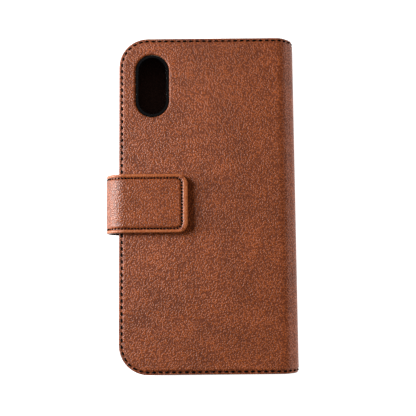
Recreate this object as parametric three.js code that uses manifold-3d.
// A folding phone wallet case, lying closed on its front cover with the camera window up.
// +X runs across the case from the open edge to the spine, +Y along it towards the camera window, +Z up.
// The origin is the middle of the front cover's outer face.
import * as THREE from "three";
import { mergeVertices } from "three/addons/utils/BufferGeometryUtils.js";
import Module from "manifold-3d";

// ---- Driving dimensions, in millimetres and degrees ----

// The phone that the case is made for.
const PHONE_LENGTH = 143.6;
const PHONE_WIDTH = 70.9;
const PHONE_THICKNESS = 7.7;
const PHONE_CORNER_RADIUS = 9.4;
const PHONE_CLEARANCE = 0.15; // on every side
const PHONE_DEPTH_CLEARANCE = 0.2; // between the phone and the lip

// The moulded tray that holds the phone.
const TRAY_WALL = 1.2;
const TRAY_FLOOR = 1.2;
const TRAY_EDGE_RADIUS = 4; // outside, where the floor meets the walls
const TRAY_EDGE_RADIUS_INSIDE = 3;
const LIP_THICKNESS = 1;
const LIP_REACH = 0.8; // how far the lip turns in over the phone
const TRAY_INSET = 1.6; // from the covers' open edge
const TRAY_OVERHANG = 2; // past the covers' folds, towards the spine
const COVER_MARGIN = 1.85; // from the tray's ends to the covers' ends

// Openings in the tray's walls, for the phone's own controls.
const POWER_BUTTON = { middle: 31.5, length: 14, height: 5 };
const VOLUME_BUTTONS = { middle: 30, length: 31, height: 5 };
const CHARGING_PORT = { middle: 0, length: 14, height: 5.2 };
const SPEAKER = { middle: 19.5, length: 12, height: 3.2 };

// The camera window, measured on the leather.
const WINDOW_WIDTH = 15.2;
const WINDOW_LENGTH = 28.7;
const WINDOW_FROM_OPEN_EDGE = 14.9; // to the window's middle
const WINDOW_FROM_END = 21.7;
const COLLAR_CLEARANCE = 0.3; // between the leather and the tray's collar
const COLLAR_WALL = 1;
const COLLAR_BELOW_FACE = 0.6; // the collar stops this far under the leather's face

// Sheets that the covers are built up from.
const SKIN = 0.9;
const BOARD = 0.8;
const LINING = 0.6;
const POCKET = 0.5;
const ADHESIVE = 0.2;
const SHEET_GAP = 0.05; // between two sheets that lie on each other
const COVER_CORNER_RADIUS = 13;
const BOARD_INSET = 2.3;
const BOARD_FROM_FOLD = 0.7; // also the lining's, over the board
const POCKET_INSET = 0.25;
const TRAY_TO_POCKETS = 0.3;
const ADHESIVE_INSET = 6; // from the tray's outline
const ADHESIVE_TO_WINDOW = 3;
const ADHESIVE_CORNER_RADIUS = 4;

// Pockets inside the front cover, with their mouths towards the spine.
const CARD_SLOTS = 3;
const FIRST_MOUTH_FROM_FOLD = 6.6;
const MOUTH_STEP = 9;
const CASH_MOUTH_FROM_FOLD = 1.2;

// The spine: three soft strips between the covers, each fold an equal turn.
const FOLD_TURN = 45;
const FOLD_ABOVE_SKIN = 0.15; // the folds lie this far inside the skin's inner face
const SPINE_SLOPE = 7.4; // the strip next to each cover
const STRIP_GAP = 0.15; // at each end of a strip of skin
const LINING_END_GAP = 0.1; // left between folded linings

// The strap, which comes out of the front cover's open edge and closes on the back.
const STRAP_WIDTH = 26;
const STRAP_MIDDLE = -0.2;
const STRAP_SKIN = 1;
const STRAP_LINING = 0.8;
const STRAP_FILLER = 0.8;
const STRAP_GAP = 0.1; // at each end of a strip of strap skin
const STRAP_FOLD_HEIGHT = 1.4;
const STRAP_FOLD_OUT = 0.7; // the folds stand this far outside the open edge
const STRAP_LOOP_REACH = 4.4; // and the loop this much further
const STRAP_ROOT_LENGTH = 9;
const FLAP_REACH = 30.6; // onto the back, from the open edge
const FLAP_CORNER_RADIUS = 4.5;
const FLAP_TO_BACK = 0.3;
const FILLER_INSET = 3.4;

// The hidden magnet and the steel plate that it holds to.
const MAGNET_RADIUS = 5;
const MAGNET_THICKNESS = 0.7;
const MAGNET_FROM_FLAP_END = 9;
const KEEPER_SIDE = 16;
const KEEPER_THICKNESS = 0.6;
const KEEPER_CORNER_RADIUS = 1;
const INSERT_CLEARANCE = 0.3; // round the magnet, the plate and the strap's root

// Seams: one thread in a pressed groove.
const GROOVE_WIDTH = 0.9;
const GROOVE_DEPTH = 0.35;
const THREAD_WIDTH = 0.6;
const THREAD_THICKNESS = 0.25;
const THREAD_SUNK = 0.05; // below the leather's face
const THREAD_END_GAP = 0.4;
const COVER_SEAM_INSET = 1.3;
const FLAP_SEAM_INSET = 1.85;
const FLAP_SEAM_END_INSET = 2.6;

// How finely round shapes are divided.
const CORNER_STEPS = 8;
const EDGE_STEPS = 5;
const DISC_SIDES = 24;

const CUT_PAST = 1; // how far a cutter runs past what it cuts
const LEAST_FLAT = 0.01; // left between two round ends

// ---- Sizes worked out from the ones above ----

const radians = THREE.MathUtils.degToRad;
const HALF_TURN = Math.PI;

// Across and along the case.
const TRAY_WIDTH = PHONE_WIDTH + 2 * (PHONE_CLEARANCE + TRAY_WALL);
const TRAY_LENGTH = PHONE_LENGTH + 2 * (PHONE_CLEARANCE + TRAY_WALL);
const TRAY_CORNER_RADIUS = PHONE_CORNER_RADIUS + PHONE_CLEARANCE + TRAY_WALL;
const COVER_WIDTH = TRAY_WIDTH + TRAY_INSET - TRAY_OVERHANG;
const HALF_LENGTH = TRAY_LENGTH / 2 + COVER_MARGIN;
const OPEN_EDGE = -COVER_WIDTH / 2;
const FOLD = COVER_WIDTH / 2;
const TRAY_OUTLINE = {
  left: OPEN_EDGE + TRAY_INSET,
  right: FOLD + TRAY_OVERHANG,
  low: -TRAY_LENGTH / 2,
  high: TRAY_LENGTH / 2,
};

// Up through the closed case, one sheet on the next.
const FRONT_SKIN = { low: 0, high: SKIN };
const FRONT_BOARD = sheetOn(FRONT_SKIN, BOARD);
const FRONT_LINING = sheetOn(FRONT_BOARD, LINING);
const CASH_POCKET = sheetOn(FRONT_LINING, POCKET);
const CARD_SLOT_SHEETS = stackOn(CASH_POCKET, CARD_SLOTS, POCKET);
const TRAY_RIM = CARD_SLOT_SHEETS.at(-1).high + TRAY_TO_POCKETS;
const PHONE_SEAT = TRAY_RIM + LIP_THICKNESS + PHONE_DEPTH_CLEARANCE + PHONE_THICKNESS;
const TRAY = { low: TRAY_RIM, high: PHONE_SEAT + TRAY_FLOOR };
const TRAY_ADHESIVE = sheetOn(TRAY, ADHESIVE);
const BACK_LINING = sheetOn(TRAY_ADHESIVE, LINING);
const BACK_BOARD = sheetOn(BACK_LINING, BOARD);
const BACK_SKIN = sheetOn(BACK_BOARD, SKIN);
const BACK_FACE = BACK_SKIN.high;

// The spine's folds lie equally deep under both covers' outer faces, so the open case lies flat.
const FOLD_DEPTH = SKIN - FOLD_ABOVE_SKIN;
const SPINE_RISE = BACK_FACE - 2 * FOLD_DEPTH;
const SPINE_FLAT = SPINE_RISE - 2 * SPINE_SLOPE * Math.sin(radians(FOLD_TURN));
const SPINE_LENGTHS = [SPINE_SLOPE, SPINE_FLAT, SPINE_SLOPE];
const SPINE_STRIPS = foldChain(FOLD, FOLD_DEPTH, 0, radians(FOLD_TURN), SPINE_LENGTHS);

// The strap turns the other way, from pointing outwards to lying on the back.
const STRAP_FOLD = OPEN_EDGE - STRAP_FOLD_OUT;
const FLAP_FOLD_HEIGHT = BACK_FACE + FLAP_TO_BACK + STRAP_LINING + STRAP_FILLER;
const STRAP_RISE = FLAP_FOLD_HEIGHT - STRAP_FOLD_HEIGHT;
const STRAP_SLOPE = STRAP_LOOP_REACH / Math.cos(radians(FOLD_TURN));
const STRAP_FLAT = STRAP_RISE - 2 * STRAP_LOOP_REACH;
const STRAP_LENGTHS = [STRAP_SLOPE, STRAP_FLAT, STRAP_SLOPE];
const STRAP_STRIPS = foldChain(
  STRAP_FOLD, STRAP_FOLD_HEIGHT, HALF_TURN, -radians(FOLD_TURN), STRAP_LENGTHS,
);
const FLAP_END = OPEN_EDGE + FLAP_REACH;

// Where things sit on the covers.
const WINDOW_X = OPEN_EDGE + WINDOW_FROM_OPEN_EDGE;
const WINDOW_Y = HALF_LENGTH - WINDOW_FROM_END;
const MAGNET_X = FLAP_END - MAGNET_FROM_FLAP_END;
const PHONE_MIDDLE_HEIGHT = PHONE_SEAT - PHONE_THICKNESS / 2;

// ---- Finishes ----

const OUTER_LEATHER = finish("#834b36", 0.62);
const LINING_LEATHER = finish("#7c4631", 0.7);
const BOARD_PULP = finish("#8f8573", 0.95);
const SEAM_THREAD = finish("#2a1410", 0.8);
const TRAY_PLASTIC = finish("#17171a", 0.38);
const PLATED_STEEL = finish("#b9bcc0", 0.3, 1);
const ADHESIVE_FILM = finish("#d9d6cc", 0.5);

function finish(colour, roughness, metalness = 0) {
  return new THREE.MeshStandardMaterial({ color: colour, roughness, metalness });
}

// ---- Helpers for sizes ----

function sheetOn(below, thickness) {
  const low = below.high + SHEET_GAP;
  return { low, high: low + thickness };
}

function stackOn(below, count, thickness) {
  const sheets = [];
  for (let i = 0; i < count; i++) {
    sheets.push(sheetOn(sheets.at(-1) ?? below, thickness));
  }
  return sheets;
}

// Strips joined end to end in the XZ plane, each turned from the one before by the same angle.
function foldChain(x, z, angle, turn, lengths) {
  return lengths.map((length) => {
    angle += turn;
    const strip = { x, z, angle, length };
    x += length * Math.cos(angle);
    z += length * Math.sin(angle);
    return strip;
  });
}

// ---- Helpers for outlines, each a list of points in the XY plane ----

// Three sides of a panel with one rounded end, from its square root and back to it.
function threeSides({ root, end, half, radius, middle = 0 }, inset = 0, endInset = inset) {
  const outwards = Math.sign(end - root);
  const points = [new THREE.Vector2(root, middle - half + inset)];
  for (const side of [-1, 1]) {
    for (let i = 0; i <= CORNER_STEPS; i++) {
      const angle = (Math.PI / 2) * (i / CORNER_STEPS + (side - 1) / 2);
      const x = end - outwards * (radius - (radius - endInset) * Math.cos(angle));
      const y = middle + side * (half - radius) + (radius - inset) * Math.sin(angle);
      points.push(new THREE.Vector2(x, y));
    }
  }
  points.push(new THREE.Vector2(root, middle + half - inset));
  return points;
}

// A band along those three sides, as wide as a groove or a thread.
function seamBand(panel, inset, endInset, width) {
  const outer = threeSides(panel, inset - width / 2, endInset - width / 2);
  const inner = threeSides(panel, inset + width / 2, endInset + width / 2);
  return [...outer, ...inner.reverse()];
}

function roundedBox({ left, right, low, high }, radius, inset = 0) {
  const points = [];
  const corners = [
    [right - radius, high - radius],
    [left + radius, high - radius],
    [left + radius, low + radius],
    [right - radius, low + radius],
  ];
  corners.forEach(([x, y], corner) => {
    for (let i = 0; i <= CORNER_STEPS; i++) {
      const angle = (Math.PI / 2) * (corner + i / CORNER_STEPS);
      const reach = radius - inset;
      points.push(new THREE.Vector2(x + reach * Math.cos(angle), y + reach * Math.sin(angle)));
    }
  });
  return points;
}

function boxRound(x, y, width, length) {
  return {
    left: x - width / 2,
    right: x + width / 2,
    low: y - length / 2,
    high: y + length / 2,
  };
}

function pill(x, y, width, length) {
  // A hair under half the narrow side, so that no two points of the outline are the same.
  const radius = Math.min(width, length) / 2 - LEAST_FLAT;
  return roundedBox(boxRound(x, y, width, length), radius);
}

// ---- Helpers for solids ----

const wasm = await Module();
wasm.setup();

function extrude(outline, { low, high }, holes = []) {
  const shape = new THREE.Shape(outline);
  shape.holes = holes.map((hole) => new THREE.Path(hole));
  const depth = high - low;
  const geometry = new THREE.ExtrudeGeometry(shape, { depth, bevelEnabled: false });
  return geometry.translate(0, 0, low);
}

// An extruded outline with its edges rounded at both ends.
function roundedBlock(outline, { low, high }, radius) {
  const geometry = new THREE.ExtrudeGeometry(new THREE.Shape(outline), {
    depth: high - low - 2 * radius,
    bevelThickness: radius,
    bevelSize: radius,
    bevelOffset: -radius,
    bevelSegments: EDGE_STEPS,
  });
  return geometry.translate(0, 0, low + radius);
}

function toSolid(geometry) {
  const bare = geometry.clone();
  bare.deleteAttribute("normal");
  bare.deleteAttribute("uv");
  const merged = mergeVertices(bare, 1e-4);
  const vertProperties = merged.getAttribute("position").array;
  const triVerts = new Uint32Array(merged.index.array);
  return new wasm.Manifold(new wasm.Mesh({ numProp: 3, vertProperties, triVerts }));
}

function toGeometry(solid) {
  const { vertProperties, triVerts } = solid.getMesh();
  const geometry = new THREE.BufferGeometry();
  geometry.setAttribute("position", new THREE.BufferAttribute(vertProperties, 3));
  geometry.setIndex(new THREE.BufferAttribute(triVerts, 1));
  geometry.computeVertexNormals();
  return geometry;
}

function cut(geometry, cutters) {
  const cutAway = (solid, cutter) => solid.subtract(toSolid(cutter));
  return toGeometry(cutters.reduce(cutAway, toSolid(geometry)));
}

function add(group, name, geometry, material) {
  const mesh = new THREE.Mesh(geometry, material);
  mesh.name = name;
  group.add(mesh);
  return mesh;
}

// ---- Panels that both covers share ----

const COVER = { root: FOLD, end: OPEN_EDGE, half: HALF_LENGTH, radius: COVER_CORNER_RADIUS };
const SKIN_PANEL = { ...COVER, root: FOLD - STRIP_GAP };
const BACKED_PANEL = { ...COVER, root: FOLD - BOARD_FROM_FOLD };
const WINDOW = pill(WINDOW_X, WINDOW_Y, WINDOW_WIDTH, WINDOW_LENGTH);

// The groove or the thread of a cover's seam, starting at the cover's outer face.
function coverSeam(outerFace, inwards, depths, width, endGap = 0) {
  const panel = { ...COVER, root: FOLD - endGap };
  const band = seamBand(panel, COVER_SEAM_INSET, COVER_SEAM_INSET, width);
  const heights = depths.map((depth) => outerFace + inwards * depth);
  return extrude(band, { low: Math.min(...heights), high: Math.max(...heights) });
}

function addCoverSkin(group, side, sheet, outerFace, inwards, holes) {
  const flat = extrude(threeSides(SKIN_PANEL), sheet, holes);
  const groove = coverSeam(outerFace, inwards, [-GROOVE_DEPTH, GROOVE_DEPTH], GROOVE_WIDTH);
  add(group, `${side}_skin`, cut(flat, [groove]), OUTER_LEATHER);
  const threadDepths = [THREAD_SUNK, THREAD_SUNK + THREAD_THICKNESS];
  const thread = coverSeam(outerFace, inwards, threadDepths, THREAD_WIDTH, THREAD_END_GAP);
  add(group, `${side}_thread`, thread, SEAM_THREAD);
}

// ---- The front cover ----

function addFrontBoard(group) {
  const board = extrude(threeSides(BACKED_PANEL, BOARD_INSET), FRONT_BOARD);
  const notch = boxRound(
    OPEN_EDGE, STRAP_MIDDLE,
    2 * (STRAP_ROOT_LENGTH + INSERT_CLEARANCE), STRAP_WIDTH + 2 * INSERT_CLEARANCE,
  );
  const corner = INSERT_CLEARANCE;
  const through = { low: FRONT_BOARD.low - BOARD, high: FRONT_BOARD.high + BOARD };
  add(group, "front_board", cut(board, [extrude(roundedBox(notch, corner), through)]), BOARD_PULP);
}

function addPockets(group) {
  const cash = { ...COVER, root: FOLD - CASH_MOUTH_FROM_FOLD };
  add(group, "cash_pocket", extrude(threeSides(cash, POCKET_INSET), CASH_POCKET), LINING_LEATHER);
  CARD_SLOT_SHEETS.forEach((sheet, i) => {
    const slot = { ...COVER, root: FOLD - FIRST_MOUTH_FROM_FOLD - i * MOUTH_STEP };
    const geometry = extrude(threeSides(slot, POCKET_INSET), sheet);
    add(group, `card_slot_${i + 1}`, geometry, LINING_LEATHER);
  });
}

// The end of the strap that is held between the front cover's skin and its lining.
function addStrapRoot(group) {
  const left = STRAP_FOLD + STRAP_GAP;
  const right = OPEN_EDGE + STRAP_ROOT_LENGTH;
  const width = right - left;
  const root = new THREE.BoxGeometry(width, STRAP_WIDTH, BOARD);
  root.translate(left + width / 2, STRAP_MIDDLE, (FRONT_BOARD.low + FRONT_BOARD.high) / 2);
  add(group, "strap_root", root, LINING_LEATHER);
}

function frontCover() {
  const group = new THREE.Group();
  addCoverSkin(group, "front", FRONT_SKIN, FRONT_SKIN.low, 1, []);
  addFrontBoard(group);
  add(group, "front_lining", extrude(threeSides(BACKED_PANEL), FRONT_LINING), LINING_LEATHER);
  addPockets(group);
  addStrapRoot(group);
  return group;
}

// ---- The back cover ----

function addBackBoard(group) {
  const side = KEEPER_SIDE + 2 * INSERT_CLEARANCE;
  const recess = roundedBox(boxRound(MAGNET_X, STRAP_MIDDLE, side, side), KEEPER_CORNER_RADIUS);
  const holes = [WINDOW, recess];
  const board = extrude(threeSides(BACKED_PANEL, BOARD_INSET), BACK_BOARD, holes);
  add(group, "back_board", board, BOARD_PULP);
  const square = boxRound(MAGNET_X, STRAP_MIDDLE, KEEPER_SIDE, KEEPER_SIDE);
  const plate = roundedBox(square, KEEPER_CORNER_RADIUS);
  const low = BACK_BOARD.high - KEEPER_THICKNESS;
  const height = { low, high: BACK_BOARD.high };
  add(group, "keeper_plate", extrude(plate, height), PLATED_STEEL);
}

// The pad stops short of the camera window.
function addAdhesive(group) {
  const pad = {
    left: TRAY_OUTLINE.left + ADHESIVE_INSET,
    right: TRAY_OUTLINE.right - ADHESIVE_INSET,
    low: TRAY_OUTLINE.low + ADHESIVE_INSET,
    high: WINDOW_Y - WINDOW_LENGTH / 2 - ADHESIVE_TO_WINDOW,
  };
  const outline = roundedBox(pad, ADHESIVE_CORNER_RADIUS);
  add(group, "tray_adhesive", extrude(outline, TRAY_ADHESIVE), ADHESIVE_FILM);
}

// A slot straight through the tray's wall, at the middle of the phone's thickness.
function wallWindow({ middle, length, height }, x, alongX) {
  const depth = TRAY_EDGE_RADIUS + TRAY_WALL + CUT_PAST;
  const slot = extrude(pill(0, 0, length, height), { low: -depth, high: depth });
  slot.rotateX(Math.PI / 2);
  if (!alongX) {
    slot.rotateZ(Math.PI / 2);
  }
  const y = alongX ? TRAY_OUTLINE.low : middle;
  return slot.translate(x, y, PHONE_MIDDLE_HEIGHT);
}

function trayWindows() {
  const trayMiddle = (TRAY_OUTLINE.left + TRAY_OUTLINE.right) / 2;
  return [
    wallWindow(POWER_BUTTON, TRAY_OUTLINE.left, false),
    wallWindow(VOLUME_BUTTONS, TRAY_OUTLINE.right, false),
    wallWindow(CHARGING_PORT, trayMiddle, true),
    wallWindow(SPEAKER, trayMiddle - SPEAKER.middle, true),
    wallWindow(SPEAKER, trayMiddle + SPEAKER.middle, true),
  ];
}

function addTray(group) {
  const tall = TRAY.low - 2 * TRAY_EDGE_RADIUS;
  const outline = roundedBox(TRAY_OUTLINE, TRAY_CORNER_RADIUS);
  const inside = roundedBox(TRAY_OUTLINE, TRAY_CORNER_RADIUS, TRAY_WALL);
  const mouth = roundedBox(TRAY_OUTLINE, TRAY_CORNER_RADIUS, TRAY_WALL + LIP_REACH);
  const outer = roundedBlock(outline, { low: tall, high: TRAY.high }, TRAY_EDGE_RADIUS);
  const past = tall - CUT_PAST;
  const around = roundedBox(TRAY_OUTLINE, CUT_PAST, -CUT_PAST);
  const belowRim = extrude(around, { low: past, high: TRAY.low });
  const lipTop = TRAY.low + LIP_THICKNESS;
  const hollow = roundedBlock(inside, { low: tall, high: PHONE_SEAT }, TRAY_EDGE_RADIUS_INSIDE);
  const belowLip = extrude(outline, { low: past, high: lipTop });
  const phoneBay = cut(hollow, [belowLip]);
  const opening = extrude(mouth, { low: tall, high: lipTop + CUT_PAST });
  const shell = cut(outer, [belowRim, phoneBay, opening, ...trayWindows()]);

  const collarWidth = WINDOW_WIDTH - 2 * COLLAR_CLEARANCE;
  const collarLength = WINDOW_LENGTH - 2 * COLLAR_CLEARANCE;
  const collar = extrude(pill(WINDOW_X, WINDOW_Y, collarWidth, collarLength), {
    low: PHONE_SEAT + TRAY_FLOOR / 2,
    high: BACK_FACE - COLLAR_BELOW_FACE,
  });
  const eye = pill(
    WINDOW_X, WINDOW_Y, collarWidth - 2 * COLLAR_WALL, collarLength - 2 * COLLAR_WALL,
  );
  const through = extrude(eye, { low: PHONE_SEAT - CUT_PAST, high: BACK_FACE + CUT_PAST });
  const joined = toSolid(shell).add(toSolid(collar)).subtract(toSolid(through));
  add(group, "phone_tray", toGeometry(joined), TRAY_PLASTIC);
}

function backCover() {
  const group = new THREE.Group();
  addCoverSkin(group, "back", BACK_SKIN, BACK_FACE, -1, [WINDOW]);
  addBackBoard(group);
  const lining = extrude(threeSides(BACKED_PANEL), BACK_LINING, [WINDOW]);
  add(group, "back_lining", lining, LINING_LEATHER);
  addAdhesive(group);
  addTray(group);
  return group;
}

// ---- Folding strips, for the spine and for the strap ----

// A flat sheet on one strip: heights are measured from the fold line, endGap is left at both ends.
function stripSheet(strip, { low, high }, width, middle, endGap) {
  const sheet = new THREE.BoxGeometry(strip.length - 2 * endGap, width, high - low);
  return sheet.translate(strip.length / 2, middle, (low + high) / 2);
}

function stripGroup(strip) {
  const group = new THREE.Group();
  group.position.set(strip.x, 0, strip.z);
  group.rotation.y = -strip.angle;
  return group;
}

// How much shorter each end of an inner sheet is, so that folded neighbours stay clear.
function foldedEndGap(insideDepth) {
  return insideDepth * Math.tan(radians(FOLD_TURN / 2)) + LINING_END_GAP;
}

function spine() {
  const group = new THREE.Group();
  const skin = { low: -FOLD_DEPTH, high: SKIN - FOLD_DEPTH };
  const lining = sheetOn(skin, LINING);
  const width = 2 * HALF_LENGTH;
  SPINE_STRIPS.forEach((strip, i) => {
    const turned = stripGroup(strip);
    const outer = stripSheet(strip, skin, width, 0, STRIP_GAP);
    add(turned, `spine_skin_${i + 1}`, outer, OUTER_LEATHER);
    const inner = stripSheet(strip, lining, width, 0, foldedEndGap(lining.high));
    add(turned, `spine_lining_${i + 1}`, inner, LINING_LEATHER);
    group.add(turned);
  });
  return group;
}

// On the strap the outside of the loop is above the fold line, and the lining is below it.
function strapSides() {
  const group = new THREE.Group();
  const skin = { low: 0, high: STRAP_SKIN };
  const lining = { low: -STRAP_LINING, high: -SHEET_GAP };
  STRAP_STRIPS.forEach((strip, i) => {
    const turned = stripGroup(strip);
    const outer = stripSheet(strip, skin, STRAP_WIDTH, STRAP_MIDDLE, STRAP_GAP);
    add(turned, `strap_skin_${i + 1}`, outer, OUTER_LEATHER);
    const endGap = foldedEndGap(STRAP_LINING);
    const inner = stripSheet(strip, lining, STRAP_WIDTH, STRAP_MIDDLE, endGap);
    add(turned, `strap_lining_${i + 1}`, inner, LINING_LEATHER);
    group.add(turned);
  });
  return group;
}

// ---- The flap at the strap's end ----

const FLAP = {
  root: STRAP_FOLD + STRAP_GAP,
  end: FLAP_END,
  half: STRAP_WIDTH / 2,
  radius: FLAP_CORNER_RADIUS,
  middle: STRAP_MIDDLE,
};
const FLAP_SKIN = { low: FLAP_FOLD_HEIGHT, high: FLAP_FOLD_HEIGHT + STRAP_SKIN };
const FLAP_LINING = {
  low: FLAP_FOLD_HEIGHT - STRAP_FILLER - STRAP_LINING,
  high: FLAP_FOLD_HEIGHT - STRAP_FILLER - SHEET_GAP,
};
const FLAP_FILLER = { low: FLAP_FOLD_HEIGHT - STRAP_FILLER, high: FLAP_FOLD_HEIGHT - SHEET_GAP };

function flapSeam(depths, width, endGap = 0) {
  const panel = { ...FLAP, root: FLAP.root + endGap };
  const band = seamBand(panel, FLAP_SEAM_INSET, FLAP_SEAM_END_INSET, width);
  return extrude(band, { low: FLAP_SKIN.high - depths[1], high: FLAP_SKIN.high - depths[0] });
}

function flap() {
  const group = new THREE.Group();
  const innerRoot = STRAP_FOLD + foldedEndGap(STRAP_LINING + STRAP_FILLER);
  const innerPanel = { ...FLAP, root: innerRoot };

  const groove = flapSeam([-GROOVE_DEPTH, GROOVE_DEPTH], GROOVE_WIDTH);
  add(group, "flap_skin", cut(extrude(threeSides(FLAP), FLAP_SKIN), [groove]), OUTER_LEATHER);
  const thread = flapSeam([THREAD_SUNK, THREAD_SUNK + THREAD_THICKNESS], THREAD_WIDTH, THREAD_END_GAP);
  add(group, "flap_thread", thread, SEAM_THREAD);
  add(group, "flap_lining", extrude(threeSides(innerPanel), FLAP_LINING), LINING_LEATHER);

  const recessRadius = MAGNET_RADIUS + INSERT_CLEARANCE;
  const recessHeight = 2 * (STRAP_FILLER + CUT_PAST);
  const recess = new THREE.CylinderGeometry(recessRadius, recessRadius, recessHeight, DISC_SIDES);
  recess.rotateX(Math.PI / 2).translate(MAGNET_X, STRAP_MIDDLE, FLAP_FILLER.low);
  const filler = extrude(threeSides(innerPanel, FILLER_INSET), FLAP_FILLER);
  add(group, "flap_filler", cut(filler, [recess]), BOARD_PULP);

  const disc = new THREE.CylinderGeometry(MAGNET_RADIUS, MAGNET_RADIUS, MAGNET_THICKNESS, DISC_SIDES);
  disc.rotateX(Math.PI / 2).translate(MAGNET_X, STRAP_MIDDLE, FLAP_FILLER.low + MAGNET_THICKNESS / 2);
  add(group, "clasp_magnet", disc, PLATED_STEEL);
  return group;
}

// ---- The whole case ----

const walletCase = new THREE.Group();
walletCase.add(frontCover(), spine(), backCover(), strapSides(), flap());

export default walletCase;
